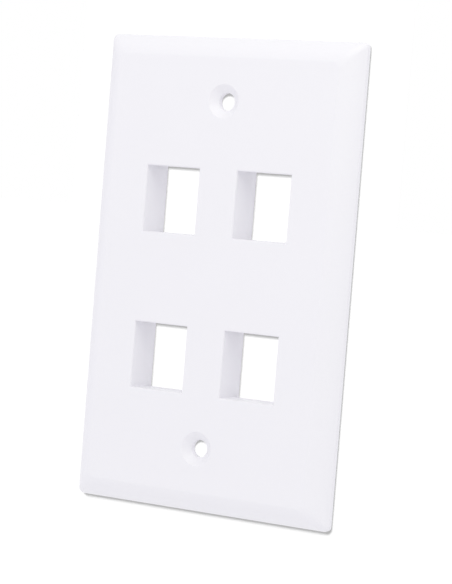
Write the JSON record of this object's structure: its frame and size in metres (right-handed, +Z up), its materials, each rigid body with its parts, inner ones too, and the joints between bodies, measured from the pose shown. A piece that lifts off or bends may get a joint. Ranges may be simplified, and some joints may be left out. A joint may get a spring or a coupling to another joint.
{
  "type": "modular wall plate",
  "caption": "Single-gang wall plate with bevelled edges, a grid of rectangular snap-in jack ports and countersunk screw holes.",
  "frame": {"origin": "middle of the plate, on the plane of the rim's back edge, which is the wall surface", "axes": "+X to the right as the room sees the plate, +Y into the wall, +Z up"},
  "size_m": [0.0698, 0.0098, 0.1142],
  "materials": {
    "white_plastic": "satin"
  },
  "bodies": {
    "root": {"wall_plate": "white_plastic"}
  },
  "joints": []
}
